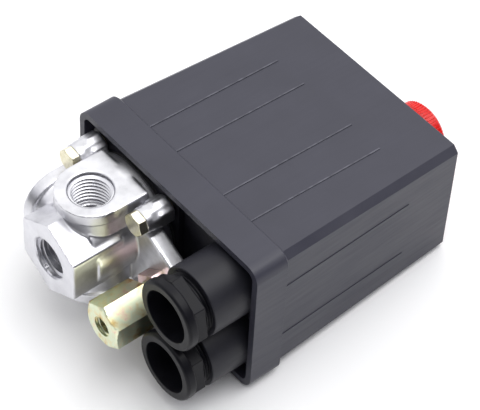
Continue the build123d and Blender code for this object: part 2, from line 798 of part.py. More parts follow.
for pole, (near, far) in {"a": terminal_offsets[:2], "b": terminal_offsets[2:]}.items():
    with BuildPart() as moving_contact:
        with BuildSketch(along_x(moving_x, contact_y, mid_z + (near + far) / 2)):
            Rectangle(2 * contact_radius, far - near + 2 * contact_radius)
        extrude(amount=bridge_contact)
    moving_contact.part.label = "moving_contact_" + pole
    export_step(moving_contact.part, "parts/moving_contact_" + pole + ".step")

# ---------------------------------------------------------------- knob and its stem
knob_base_x = end_x - cover_wall
knob_tip_x = end_x + knob_reach
knob_root_x = knob_base_x + 0.4
with BuildPart() as knob:
    with BuildSketch(Plane(origin=(0, knob_y, mid_z), x_dir=(1, 0, 0), z_dir=(0, 0, 1))):
        with BuildLine():
            waist_x = (end_x + knob_tip_x) / 2
            Polyline(
                (knob_tip_x, 0),
                (knob_root_x, 0),
                (knob_root_x, knob_radius - 0.4),
                (end_x + 1.6, knob_radius - 0.4),
            )
            ThreePointArc(
                (end_x + 1.6, knob_radius - 0.4),
                (waist_x - 0.4, knob_waist_radius),
                (knob_tip_x - 4.2, knob_radius - knob_tooth),
            )
            Polyline(
                (knob_tip_x - 4.2, knob_radius - knob_tooth),
                (knob_tip_x - 1.0, knob_radius - knob_tooth),
                (knob_tip_x, knob_radius - 1.2),
                (knob_tip_x, 0),
            )
        make_face()
    revolve(axis=Axis((0, knob_y, mid_z), (1, 0, 0)))
    with BuildSketch(along_x(knob_tip_x - 4.0, knob_y, mid_z)):
        with PolarLocations(knob_radius - knob_tooth - 0.05, knob_teeth):
            Rectangle(2 * knob_tooth, pi * knob_radius / knob_teeth)
    extrude(amount=3.0)
knob.part.label = "knob"
export_step(knob.part, "parts/knob.step")

with BuildPart() as knob_stem:
    with BuildSketch(along_x(stem_foot_x, knob_y, mid_z)):
        Circle(stem_foot_radius)
    extrude(amount=stem_foot)
    with BuildSketch(along_x(stem_foot_x, knob_y, mid_z)):
        Circle(stem_radius)
    extrude(amount=knob_root_x - stem_foot_x)
knob_stem.part.label = "knob_stem"
export_step(knob_stem.part, "parts/knob_stem.step")

with BuildPart() as detent_spring:
    detent_z = stem_radius + 0.5 + hole_gap
    with BuildSketch(Plane.XZ.offset(-(bridge_end_y + 1.0))):
        with Locations((frame_top_x + 0.5, mid_z - detent_z), (frame_top_x + 0.5, mid_z + detent_z)):
            Circle(0.5)
    extrude(amount=-(knob_y - bridge_end_y + 5.0))
detent_spring.part.label = "detent_spring"
export_step(detent_spring.part, "parts/detent_spring.step")

# ---------------------------------------------------------------- cover screw and standoff
with BuildPart() as cover_standoff:
    with BuildSketch(along_x(frame_top_x, cover_screw_y, mid_z)):
        hexagon(standoff_flats)
        Circle(cover_screw_radius, mode=Mode.SUBTRACT)
    extrude(amount=end_x - cover_wall - frame_top_x)
cover_standoff.part.label = "cover_standoff"
export_step(cover_standoff.part, "parts/cover_standoff.step")

with BuildPart() as cover_screw:
    with BuildSketch(along_x(end_x, cover_screw_y, mid_z)):
        Circle(cover_screw_head_radius)
    extrude(amount=cover_screw_head)
    fillet(cover_screw.edges().group_by(Axis.X)[-1], 1.2)
    with BuildSketch(along_x(end_x - cover_wall - 10.0, cover_screw_y, mid_z)):
        Circle(cover_screw_radius)
    extrude(amount=cover_wall + 10.0)
    with BuildSketch(along_x(end_x + cover_screw_head - 1.2, cover_screw_y, mid_z)):
        Rectangle(4.2, 0.9)
        Rectangle(0.9, 4.2)
    extrude(amount=1.2, mode=Mode.SUBTRACT)
cover_screw.part.label = "cover_screw"
export_step(cover_screw.part, "parts/cover_screw.step")
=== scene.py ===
"""The looks of an air-compressor pressure switch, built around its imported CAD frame."""

import json
import math

import bmesh
import bpy
from mathutils import Matrix, Vector


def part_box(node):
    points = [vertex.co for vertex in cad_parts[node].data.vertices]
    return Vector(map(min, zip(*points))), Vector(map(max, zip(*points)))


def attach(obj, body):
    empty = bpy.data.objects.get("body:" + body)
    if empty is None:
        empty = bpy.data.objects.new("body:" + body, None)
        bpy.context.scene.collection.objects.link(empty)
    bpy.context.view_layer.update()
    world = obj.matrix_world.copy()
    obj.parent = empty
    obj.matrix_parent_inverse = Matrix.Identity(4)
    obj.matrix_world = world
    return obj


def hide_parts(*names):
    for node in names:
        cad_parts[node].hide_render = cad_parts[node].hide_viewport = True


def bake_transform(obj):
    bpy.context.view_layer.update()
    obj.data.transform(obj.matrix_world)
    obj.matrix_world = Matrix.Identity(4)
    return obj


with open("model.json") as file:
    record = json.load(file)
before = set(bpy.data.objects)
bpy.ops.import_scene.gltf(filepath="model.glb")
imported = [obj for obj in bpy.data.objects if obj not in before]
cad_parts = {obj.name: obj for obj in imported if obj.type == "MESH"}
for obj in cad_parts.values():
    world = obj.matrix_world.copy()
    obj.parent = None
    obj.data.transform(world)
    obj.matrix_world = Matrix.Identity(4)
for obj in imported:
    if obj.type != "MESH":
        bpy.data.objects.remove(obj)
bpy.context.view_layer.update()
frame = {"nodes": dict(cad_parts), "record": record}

MM = 0.001
WELD = 0.002 * MM                   # corners nearer than this are one corner
ON_WALL = 0.05 * MM                 # corners this near to a radius stand on its wall
ROOTED = 0.05 * MM                  # a thread's foot sinks this far into the wall that carries it
FOOT_HALF = 0.46                    # half a ridge's width at its foot, in pitches
CREST_HALF = 0.09                   # and at its crest
FLAT = math.radians(0.5)            # faces that meet at less than this are one flat face
SHARP = math.radians(28)            # corners that turn by more than this are rounded
BROAD = 0.6 * MM                    # and only between faces at least this broad
CREASE = math.radians(32)           # faces that meet at less than this shade as one
CLOUDY = (0.3, 0.7)                 # most values of a noise lie between these
ALONG = Vector((1, 0, 0))           # from the manifold to the knob
ACROSS = Vector((0, 1, 0))
UP = Vector((0, 0, 1))
FOCAL_WIDTH = 480                   # the camera's focal length is measured against this frame width

# ------------------------------------------------------------------ places and sizes of the design
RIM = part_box("cover")[0].x          # the cover's open rim, where the switch's own stations start
FAR_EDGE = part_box("cover")[1].x
SKIRT_LENGTH = 11.7 * MM            # the cover's wider band, from the rim on
LEAN = 4.1 * MM                     # the cover's far lower edge stands this far above its skirt's
RAISED_LINE_AREAS = (16 * MM * MM, 36 * MM * MM)    # smallest and largest top of a raised line

CASTING_LOW, CASTING_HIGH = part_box("manifold")
PORT_SETBACK = 14.2 * MM            # side ports' axis, ahead of the rim
DIAPHRAGM_LOW, DIAPHRAGM_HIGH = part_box("diaphragm")
MANIFOLD_AXIS = (DIAPHRAGM_LOW + DIAPHRAGM_HIGH) / 2
HUB = Vector((RIM - PORT_SETBACK, MANIFOLD_AXIS.y, MANIFOLD_AXIS.z))
PORT_REACH = CASTING_HIGH.y - HUB.y
AXIAL_REACH = HUB.x - CASTING_LOW.x
BORE_RADIUS = 6.7 * MM
BORE_DEPTH = 12.0 * MM
AXIAL_BORE_DEPTH = 10.4 * MM
BORE_CHAMFER = 0.5 * MM
PLAIN_MOUTH = 1.0 * MM              # unthreaded band inside each port's countersink
PLAIN_BOTTOM = 0.6 * MM             # and at the bottom of its bore
PORT_PITCH = 25.4 / 18 * MM         # pipe thread, 18 to the inch
PORT_THREAD_HEIGHT = 0.85 * MM
TOOL_OVERSHOOT = 1 * MM             # how far a boring tool stands out of its port
SKIN_LOSS = 0.1 * MM                # what smoothing takes off the casting, put back before machining

GLAND_HEAD_LENGTH = (3.2 + 3.9) * MM                # ring and hexagon
GLAND_SHANK_RADIUS = 9.5 * MM
GLAND_ROOT_RADIUS = 9.02 * MM
GLAND_PITCH = 1.0 * MM
GLAND_PLAIN_END = 0.3 * MM
GLAND_ROUNDING = 0.25 * MM

UNLOADER_HEX_LENGTH = 15 * MM
UNLOADER_NECK_RADIUS = 5.0 * MM
UNLOADER_ROOT_RADIUS = 4.55 * MM
UNLOADER_PITCH = 1.0 * MM
UNLOADER_PLAIN_END = 0.2 * MM
UNLOADER_ROUNDING = 0.22 * MM
LOCK_NUT_ROUNDING = 0.3 * MM
TUBE_BORE_RADIUS = 3.3 * MM
TUBE_PLAIN_MOUTH = 0.6 * MM
TUBE_THREAD_LENGTH = 8 * MM
TUBE_THREAD_HEIGHT = 0.45 * MM
TUBE_PITCH = 0.9 * MM


# ------------------------------------------------------------------ camera and lights
def placed(name, data):
    """A new object in the scene."""
    made = bpy.data.objects.new(name, data)
    bpy.context.scene.collection.objects.link(made)
    return made


def linear(hex_colour):
    """An sRGB hex value as linear RGBA."""
    parts = (int(hex_colour[i : i + 2], 16) / 255 for i in (1, 3, 5))
    return (*((p / 12.92 if p <= 0.04045 else ((p + 0.055) / 1.055) ** 2.4) for p in parts), 1.0)


def look_from(azimuth, elevation, roll, distance, target, focal):
    """A camera on a tripod: azimuth 0 looks along +Y, roll turns the view clockwise."""
    a, e, r = (math.radians(angle) for angle in (azimuth, elevation, roll))
    back = Vector((math.sin(a) * math.cos(e), -math.cos(a) * math.cos(e), math.sin(e)))
    level = UP.cross(back).normalized()
    upright = back.cross(level)
    right = math.cos(r) * level + math.sin(r) * upright
    up = math.cos(r) * upright - math.sin(r) * level
    lens = bpy.data.cameras.new("studio_camera")
    lens.lens = focal * lens.sensor_width / FOCAL_WIDTH
    lens.clip_start, lens.clip_end = 0.01, 10
    camera = placed("studio_camera", lens)
    camera.matrix_world = Matrix.Translation(target + back * distance) @ Matrix(
        (right, up, back)
    ).transposed().to_4x4()
    bpy.context.scene.camera = camera


look_from(
    azimuth=-42.27,
    elevation=48.06,
    roll=3.61,
    distance=618.9 * MM,
    target=Vector((RIM + 24.2 * MM, -4.9 * MM, 33.0 * MM)),
    focal=2110,
)


def soft_light(name, size, power, place, aim):
    """A square white softbox that faces a point."""
    light = bpy.data.lights.new(name, "AREA")
    light.shape = "RECTANGLE"
    light.size = light.size_y = size
    light.energy = power
    lamp = placed(name, light)
    lamp.location = place
    lamp.rotation_euler = (Vector(aim) - Vector(place)).to_track_quat("-Z", "Y").to_euler()


# ------------------------------------------------------------------ nodes
def add(tree, kind, feeds=None, **settings):
    """Adds one node: settings are its properties, feeds its input values or the sockets behind them."""
    made = tree.nodes.new(kind)
    for key, value in settings.items():
        setattr(made, key, value)
    for key, value in (feeds or {}).items():
        if isinstance(value, bpy.types.NodeSocket):
            tree.links.new(value, made.inputs[key])
        else:
            made.inputs[key].default_value = value
    return made


def finish_named(name, **constants):
    """An empty material: its tree, its Object coordinates and its shader with constant values."""
    material = bpy.data.materials.new(name)
    material.use_nodes = True
    tree = material.node_tree
    tree.nodes.clear()
    place = add(tree, "ShaderNodeTexCoord").outputs["Object"]
    shader = add(tree, "ShaderNodeBsdfPrincipled")
    for key, value in constants.items():
        shader.inputs[key.replace("_", " ").title().replace("Ior", "IOR")].default_value = value
    add(tree, "ShaderNodeOutputMaterial", {"Surface": shader.outputs["BSDF"]})
    return material, tree, place, shader


def noise(tree, place, size, detail=2.0, rough=0.5, stretch=(1, 1, 1)):
    """Cloudy noise whose blobs are about one size across, drawn out along an axis by stretch."""
    seen = add(tree, "ShaderNodeMapping", {"Vector": place, "Scale": stretch}).outputs["Vector"]
    made = add(
        tree,
        "ShaderNodeTexNoise",
        {"Vector": seen, "Scale": 1 / size, "Detail": detail, "Roughness": rough},
    )
    return made.outputs["Fac"]


def ramp(tree, factor, *stops):
    """A colour ramp from hex colours at their places."""
    made = add(tree, "ShaderNodeValToRGB", {"Fac": factor})
    for spot, _ in stops[2:]:
        made.color_ramp.elements.new(spot)
    for element, (spot, colour) in zip(made.color_ramp.elements, stops):
        element.position = spot
        element.color = linear(colour)
    return made.outputs["Color"]


def spread(tree, factor, low, high):
    """A noise stretched onto another range."""
    made = add(
        tree,
        "ShaderNodeMapRange",
        {"Value": factor, "From Min": CLOUDY[0], "From Max": CLOUDY[1], "To Min": low, "To Max": high},
    )
    return made.outputs["Result"]


def bumped(tree, shader, *layers):
    """Lays height patterns over each other: each layer is its socket, its depth and its strength."""
    normal = None
    for height, depth, strength in layers:
        feeds = {"Height": height, "Distance": depth, "Strength": strength}
        if normal:
            feeds["Normal"] = normal
        normal = add(tree, "ShaderNodeBump", feeds).outputs["Normal"]
    tree.links.new(normal, shader.inputs["Normal"])


# ------------------------------------------------------------------ finishes
def spark_grained_abs():
    """Injection-moulded ABS: a fine spark-eroded grain, cloudy handling marks and faint long scuffs."""
    material, tree, place, shader = finish_named("black_abs_satin", ior=1.45)
    cloud = noise(tree, place, 16 * MM, detail=4.0)
    scuffs = noise(tree, place, 1.2 * MM, detail=3.0, stretch=(0.06, 1, 1))
    tree.links.new(ramp(tree, cloud, (0.3, "#33333e"), (0.7, "#393944")), shader.inputs["Base Color"])
    marks = add(
        tree, "ShaderNodeMath", {0: spread(tree, cloud, 0.4, 0.5), 1: spread(tree, scuffs, -0.05, 0.05)}
    )
    tree.links.new(marks.outputs["Value"], shader.inputs["Roughness"])
    grain = noise(tree, place, 0.45 * MM)       # real spark grain is near 0.1 mm, too fine to show
    ripple = noise(tree, place, 9 * MM, detail=1.0)
    bumped(tree, shader, (ripple, 0.12 * MM, 0.35), (grain, 0.02 * MM, 0.5))
    return material


def rubbed_and_highlit_abs():
    """The cover's plastic on its raised lines, paler and smoother: partly rubbing wear, partly a
    painted highlight for the glint their edges would catch.
    """
    material, tree, place, shader = finish_named("black_abs_rubbed_highlit", ior=1.45)
    wear_and_glint = noise(tree, place, 2 * MM, detail=3.0)
    # pale tones: painted highlight on the raised lines, with some rubbing wear
    tree.links.new(ramp(tree, wear_and_glint, (0.35, "#3e3e48"), (0.65, "#585862")), shader.inputs["Base Color"])
    tree.links.new(spread(tree, wear_and_glint, 0.35, 0.45), shader.inputs["Roughness"])
    return material


def shaded_base_abs():
    """Moulded base plate: the cover's plastic, unscuffed, in a deeper black that is painted shade on
    the low base.
    """
    material, tree, place, shader = finish_named("black_abs_painted_shade", ior=1.45, specular_ior_level=0.35)
    cloud = noise(tree, place, 9 * MM, detail=4.0)
    # darker tones than the cover's: painted shade
    tree.links.new(ramp(tree, cloud, (0.3, "#1b1b21"), (0.7, "#23232a")), shader.inputs["Base Color"])
    tree.links.new(spread(tree, cloud, 0.38, 0.5), shader.inputs["Roughness"])
    bumped(tree, shader, (noise(tree, place, 0.45 * MM), 0.02 * MM, 0.5))
    return material


def moulded_nylon():
    """Moulded nylon: nearly black, with a waxy sheen and a soft mottled skin."""
    material, tree, place, shader = finish_named("black_nylon_satin", ior=1.42, specular_ior_level=0.2)
    cloud = noise(tree, place, 5 * MM, detail=4.0)
    tree.links.new(ramp(tree, cloud, (0.3, "#0f0f13"), (0.7, "#17171c")), shader.inputs["Base Color"])
    tree.links.new(spread(tree, cloud, 0.3, 0.42), shader.inputs["Roughness"])
    bumped(tree, shader, (noise(tree, place, 0.4 * MM, detail=3.0), 0.03 * MM, 0.5))
    return material


def diecast_aluminium():
    """Die-cast and tumbled aluminium: bright, with a dimpled skin, flow marks and grey patches."""
    material, tree, place, shader = finish_named("diecast_aluminium", metallic=1.0)
    cloud = noise(tree, place, 5 * MM, detail=5.0, rough=0.6)
    fine = noise(tree, place, 0.7 * MM, detail=3.0)
    tone = ramp(tree, cloud, (0.3, "#c9c9cd"), (0.5, "#d8d8dc"), (0.72, "#e4e4e8"))
    tree.links.new(tone, shader.inputs["Base Color"])
    tree.links.new(spread(tree, fine, 0.32, 0.38), shader.inputs["Roughness"])
    dents = noise(tree, place, 2.4 * MM, detail=2.0)
    bumped(tree, shader, (dents, 0.035 * MM, 0.5), (fine, 0.015 * MM, 0.5))
    return material


def machined_aluminium():
    """Faced and bored aluminium: turned rings round each port's axis, struck from the hub's middle."""
    material, tree, place, shader = finish_named("machined_aluminium", metallic=1.0)
    centred = add(tree, "ShaderNodeMapping", {"Vector": place, "Location": -HUB}).outputs["Vector"]
    ring_size = 0.5 * MM
    rings = add(
        tree,
        "ShaderNodeTexWave",
        {"Vector": centred, "Scale": 1 / (2 * math.pi * ring_size), "Distortion": 1.2, "Detail": 2.0},
        wave_type="RINGS",
        rings_direction="SPHERICAL",
    ).outputs["Fac"]
    cloud = noise(tree, place, 4 * MM, detail=4.0)
    tree.links.new(ramp(tree, cloud, (0.3, "#cfcfd4"), (0.7, "#dedee2")), shader.inputs["Base Color"])
    tree.links.new(spread(tree, cloud, 0.3, 0.4), shader.inputs["Roughness"])
    bumped(tree, shader, (rings, 0.005 * MM, 0.5), (noise(tree, place, 1.5 * MM), 0.015 * MM, 0.4))
    return material


def passivated_zinc(name, blotch, *stops):
    """Yellow-passivated zinc on steel: thin-film blotches that drift between straw, pink and green."""
    material, tree, place, shader = finish_named(name, metallic=1.0)
    film = noise(tree, place, blotch, detail=3.0, rough=0.55)
    tree.links.new(ramp(tree, film, *stops), shader.inputs["Base Color"])
    tree.links.new(spread(tree, film, 0.28, 0.38), shader.inputs["Roughness"])
    drawn = noise(tree, place, 0.35 * MM, detail=2.0, stretch=(0.15, 1, 1))
    bumped(tree, shader, (drawn, 0.012 * MM, 0.5))
    return material


def plated_sheet():
    """Clear zinc plate on pressed steel: bluish, softly spangled, with faint rolling lines."""
    material, tree, place, shader = finish_named("clear_zinc_plate", metallic=1.0)
    spangle = noise(tree, place, 3 * MM, detail=3.0)
    lines = noise(tree, place, 0.3 * MM, stretch=(0.08, 1, 1))
    tree.links.new(ramp(tree, spangle, (0.3, "#a3a7ae"), (0.7, "#c2c6cc")), shader.inputs["Base Color"])
    tree.links.new(spread(tree, spangle, 0.26, 0.38), shader.inputs["Roughness"])
    bumped(tree, shader, (lines, 0.008 * MM, 0.5))
    return material


def drawn_metal(name, dark, light, rough, streak):
    """Drawn, turned or stamped metal: fine streaks, and a tone that drifts a little."""
    material, tree, place, shader = finish_named(name, metallic=1.0)
    cloud = noise(tree, place, 3.5 * MM, detail=4.0)
    streaks = noise(tree, place, streak, stretch=(0.12, 1, 1))
    tree.links.new(ramp(tree, cloud, (0.3, dark), (0.7, light)), shader.inputs["Base Color"])
    tree.links.new(spread(tree, cloud, rough - 0.05, rough + 0.07), shader.inputs["Roughness"])
    bumped(tree, shader, (streaks, 0.01 * MM, 0.5))
    return material


def moulded_rubber():
    """Moulded nitrile rubber: dull, with a dusty bloom in patches."""
    material, tree, place, shader = finish_named("black_nitrile_rubber", ior=1.52)
    bloom = noise(tree, place, 3 * MM, detail=5.0)
    tree.links.new(ramp(tree, bloom, (0.35, "#121213"), (0.75, "#232325")), shader.inputs["Base Color"])
    tree.links.new(spread(tree, bloom, 0.65, 0.8), shader.inputs["Roughness"])
    bumped(tree, shader, (noise(tree, place, 0.3 * MM), 0.03 * MM, 0.5))
    return material


def moulded_phenolic():
    """Moulded phenolic: a hard brown-black resin with paler wood-flour flecks under the gloss."""
    material, tree, place, shader = finish_named("brown_phenolic", ior=1.6)
    flecks = noise(tree, place, 0.5 * MM, detail=4.0, rough=0.65)
    tree.links.new(ramp(tree, flecks, (0.4, "#21160f"), (0.72, "#4a3423")), shader.inputs["Base Color"])
    tree.links.new(spread(tree, flecks, 0.3, 0.42), shader.inputs["Roughness"])
    bumped(tree, shader, (noise(tree, place, 2 * MM), 0.03 * MM, 0.4))
    return material


def glossy_red_abs():
    """Moulded red ABS: saturated and glossy, with slight flow ripple and fine rub marks."""
    material, tree, place, shader = finish_named("red_abs_gloss", ior=1.45)
    cloud = noise(tree, place, 5 * MM, detail=3.0)
    tree.links.new(ramp(tree, cloud, (0.3, "#d1140f"), (0.7, "#de2018")), shader.inputs["Base Color"])
    tree.links.new(spread(tree, cloud, 0.18, 0.3), shader.inputs["Roughness"])
    bumped(tree, shader, (noise(tree, place, 3 * MM), 0.05 * MM, 0.4))
    return material


MACHINED = machined_aluminium()
ROSE_ZINC = passivated_zinc(
    "rose_zinc_plate", 2.5 * MM, (0.3, "#f4d2c8"), (0.5, "#fbe0de"), (0.7, "#eed6b4")
)
FINISHES = {
    "black_abs": spark_grained_abs(),
    "black_nylon": moulded_nylon(),
    "cast_aluminium": diecast_aluminium(),
    "yellow_zinc": passivated_zinc(
        "yellow_zinc_plate", 1.6 * MM, (0.3, "#cfc9aa"), (0.5, "#e6e1c8"), (0.7, "#dad3b8")
    ),
    "iridescent_zinc": passivated_zinc(
        "iridescent_zinc_plate",
        4.5 * MM,
        (0.28, "#c9a860"),
        (0.4, "#e2dcb2"),
        (0.5, "#dfe8cc"),
        (0.6, "#e9e4c2"),
        (0.7, "#e6c2b2"),
        (0.8, "#cfa668"),
    ),
    "zinc_plate": plated_sheet(),
    "bright_steel": drawn_metal("bright_turned_steel", "#9b9b9e", "#b5b5b8", 0.26, 0.25 * MM),
    "spring_steel": drawn_metal("drawn_spring_wire", "#6f7074", "#8a8b90", 0.34, 0.2 * MM),
    "turned_brass": drawn_metal("turned_brass", "#b98f42", "#d2ad62", 0.26, 0.25 * MM),
    "contact_brass": drawn_metal("stamped_brass_strip", "#b07c40", "#cf9c5c", 0.3, 0.3 * MM),
    "black_rubber": moulded_rubber(),
    "phenolic": moulded_phenolic(),
    "red_plastic": glossy_red_abs(),
}
SLOT_OF = {entry["node"]: entry["material_slot"] for entry in frame["record"]["subparts"]}
BODY_OF = {
    node: body for body, nodes in frame["record"]["behaviour"]["bodies"].items() for node in nodes
}
for node, piece in frame["nodes"].items():
    piece.data.materials.clear()
    piece.data.materials.append(FINISHES[SLOT_OF[node]])
PAINTED_SHADE_BLACK = shaded_base_abs()
HIGHLIT_RUBBED_BLACK = rubbed_and_highlit_abs()


# ------------------------------------------------------------------ making pieces
def welded(node):
    """A CAD piece's surface as one closed mesh with its flat faces whole."""
    work = bmesh.new()
    work.from_mesh(frame["nodes"][node].data)
    bmesh.ops.remove_doubles(work, verts=work.verts, dist=WELD)
    bmesh.ops.dissolve_limit(
        work, angle_limit=FLAT, verts=work.verts, edges=work.edges, delimit={"NORMAL"}
    )
    return work


def mesh_of(work, name, finish):
    """A bmesh as a mesh in one finish. The bmesh is freed."""
    mesh = bpy.data.meshes.new(name)
    work.to_mesh(mesh)
    work.free()
    mesh.materials.append(finish)
    return mesh


def shaded(mesh):
    """Shades a mesh smooth up to its creases."""
    mesh.shade_smooth()
    mesh.set_sharp_from_angle(angle=CREASE)
    return mesh


def finished(work, name, node, replaces=True, finish=None, stretched=None):
    """Turns a bmesh into a piece that has a CAD node's finish, or its own, and may replace the node.

    It rides on the node's body, or, when stretched is given, is baked where it stands and rides on no
    body; only whether stretched is given counts.
    """
    piece = placed(name, shaded(mesh_of(work, name, finish or FINISHES[SLOT_OF[node]])))
    even = piece.modifiers.new("even_shading", "WEIGHTED_NORMAL")
    even.keep_sharp = True
    even.weight = 80
    if stretched:
        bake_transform(piece)
    else:
        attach(piece, BODY_OF[node])
    if replaces:
        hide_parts(node)
    return piece


def broad_corner(edge):
    """Says if an edge is a sharp one between two broad faces."""
    return (
        len(edge.link_faces) == 2
        and edge.calc_face_angle(0) > SHARP
        and min(face.calc_area() for face in edge.link_faces) > BROAD * edge.calc_length()
    )


def rounded(work, width, segments=2):
    """Rounds the sharp corners of a mesh, as moulding, tumbling or deburring leaves them."""
    bmesh.ops.bevel(
        work,
        geom=[edge for edge in work.edges if broad_corner(edge)],
        offset=width,
        offset_type="OFFSET",
        segments=segments,
        profile=0.5,
        affect="EDGES",
        material=-1,
        clamp_overlap=True,
    )
    return work


def ends_of(node):
    """The middle points of a CAD node's two ends along X."""
    low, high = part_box(node)
    near = Vector((low.x, (low.y + high.y) / 2, (low.z + high.z) / 2))
    return near, Vector((high.x, near.y, near.z))


def turned_down(work, axis, start_x, radius, root):
    """Turns a round wall past a station along X down to the root of its thread."""
    walls = [
        vert
        for vert in work.verts
        if vert.co.x > start_x - WELD and abs((vert.co - axis).yz.length - radius) < ON_WALL
    ]
    about_axis = Matrix.Translation(-axis)
    bmesh.ops.scale(work, vec=(1, root / radius, root / radius), verts=walls, space=about_axis)


def cut_at(work, spot, outward):
    """Cuts off what lies past a plane and closes the cut."""
    bmesh.ops.bisect_plane(
        work,
        geom=work.verts[:] + work.edges[:] + work.faces[:],
        dist=WELD / 10,
        plane_co=spot,
        plane_no=outward,
        clear_outer=True,
    )
    bmesh.ops.holes_fill(work, edges=[edge for edge in work.edges if edge.is_boundary], sides=0)


def thread(start, along, foot, crest, pitch, length, steps=48):
    """A right-hand thread's ridge from foot to crest radius, cut off square at both ends."""
    work = bmesh.new()
    side = along.orthogonal().normalized()
    turns = length / pitch + 2
    profile = [
        work.verts.new(start + side * radius + along * (shift - 1) * pitch)
        for radius, shift in (
            (foot, -FOOT_HALF), (crest, -CREST_HALF), (crest, CREST_HALF), (foot, FOOT_HALF)
        )
    ]
    loop = [work.edges.new((a, b)) for a, b in zip(profile, profile[1:] + profile[:1])]
    bmesh.ops.spin(
        work,
        geom=profile + loop,
        cent=start,
        axis=along,
        dvec=along * pitch / steps,
        angle=2 * math.pi * turns,
        steps=round(turns * steps),
    )
    cut_at(work, start, -along)
    cut_at(work, start + along * length, along)
    bmesh.ops.recalc_face_normals(work, faces=work.faces)
    return work


def shaped(piece):
    """A helper object's mesh with its modifiers in it. The object is removed."""
    bpy.context.view_layer.update()
    mesh = bpy.data.meshes.new_from_object(piece.evaluated_get(bpy.context.evaluated_depsgraph_get()))
    bpy.data.objects.remove(piece)
    return mesh


# ------------------------------------------------------------------ the cast manifold
PORTS = {
    "tank": (-ALONG, AXIAL_REACH, AXIAL_BORE_DEPTH),
    "up": (UP, PORT_REACH, BORE_DEPTH),
    "side": (ACROSS, PORT_REACH, BORE_DEPTH),
    "down": (-UP, PORT_REACH, BORE_DEPTH),
}


def boring_tool(outward, reach, depth):
    """The plug of metal that a port's drill and 45 degree countersink take out."""
    work = bmesh.new()
    side = outward.orthogonal().normalized()
    mouth = HUB + outward * reach
    stations = (
        (0, TOOL_OVERSHOOT),
        (BORE_RADIUS + BORE_CHAMFER + TOOL_OVERSHOOT, TOOL_OVERSHOOT),
        (BORE_RADIUS, -BORE_CHAMFER),
        (BORE_RADIUS, -depth),
        (0, -depth),
    )
    profile = [work.verts.new(mouth + side * radius + outward * rise) for radius, rise in stations]
    edges = [work.edges.new(pair) for pair in zip(profile, profile[1:])]
    bmesh.ops.spin(
        work, geom=profile + edges, cent=HUB, axis=outward, angle=2 * math.pi, steps=72, use_merge=True
    )
    bmesh.ops.remove_doubles(work, verts=work.verts, dist=WELD)
    bmesh.ops.recalc_face_normals(work, faces=work.faces)
    return work


def cast_manifold():
    """Rounds the design as a die and a tumbling drum do, then faces and bores its ports crisply."""
    casting = placed("casting", mesh_of(welded("manifold"), "casting", FINISHES["cast_aluminium"]))
    remesh = casting.modifiers.new("grain", "REMESH")
    remesh.mode = "VOXEL"
    remesh.voxel_size = 0.38 * MM
    smooth = casting.modifiers.new("tumbled", "SMOOTH")
    smooth.factor = 0.5
    smooth.iterations = 4
    swell = casting.modifiers.new("skin", "DISPLACE")
    swell.strength = SKIN_LOSS
    swell.mid_level = 0

    block = bmesh.new()
    bmesh.ops.create_cube(block, size=1.0)
    bmesh.ops.scale(block, vec=CASTING_HIGH - CASTING_LOW, verts=block.verts)
    bmesh.ops.translate(block, vec=(CASTING_HIGH + CASTING_LOW) / 2, verts=block.verts)
    tools = [("facing", "INTERSECT", block)]
    tools += [(f"bore_{name}", "DIFFERENCE", boring_tool(*port)) for name, port in PORTS.items()]
    helpers = []
    for name, operation, shape in tools:
        helpers.append(placed(name, mesh_of(shape, name, MACHINED)))
        cut = casting.modifiers.new(name, "BOOLEAN")
        cut.operation = operation
        cut.object = helpers[-1]
        cut.solver = "EXACT"
        cut.material_mode = "TRANSFER"
    mesh = shaped(casting)
    for helper in helpers:
        bpy.data.objects.remove(helper)
    mesh.name = "cast_manifold"
    piece = placed("cast_manifold", shaded(mesh))
    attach(piece, BODY_OF["manifold"])
    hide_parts("manifold")


def port_threads():
    """The pipe threads cut in the four ports."""
    for name, (outward, reach, depth) in PORTS.items():
        ridge = thread(
            HUB + outward * (reach - BORE_CHAMFER - PLAIN_MOUTH),
            -outward,
            foot=BORE_RADIUS + ROOTED,
            crest=BORE_RADIUS - PORT_THREAD_HEIGHT,
            pitch=PORT_PITCH,
            length=depth - BORE_CHAMFER - PLAIN_MOUTH - PLAIN_BOTTOM,
        )
        finished(ridge, f"port_thread_{name}", "manifold", replaces=False, finish=MACHINED)


cast_manifold()
port_threads()


# ------------------------------------------------------------------ cable glands
def cable_gland(place):
    """A gland nut with rounded mouldings and its coarse thread."""
    node = f"gland_nut_{place}"
    axis, tip = ends_of(node)
    shank = axis + ALONG * GLAND_HEAD_LENGTH
    work = welded(node)
    turned_down(work, axis, shank.x, GLAND_SHANK_RADIUS, GLAND_ROOT_RADIUS)
    finished(rounded(work, GLAND_ROUNDING, segments=3), f"gland_{place}", node)
    ridge = thread(
        shank,
        ALONG,
        foot=GLAND_ROOT_RADIUS - ROOTED,
        crest=GLAND_SHANK_RADIUS,
        pitch=GLAND_PITCH,
        length=tip.x - shank.x - GLAND_PLAIN_END,
        steps=72,
    )
    finished(ridge, f"gland_thread_{place}", node, replaces=False)


cable_gland("upper")
cable_gland("lower")


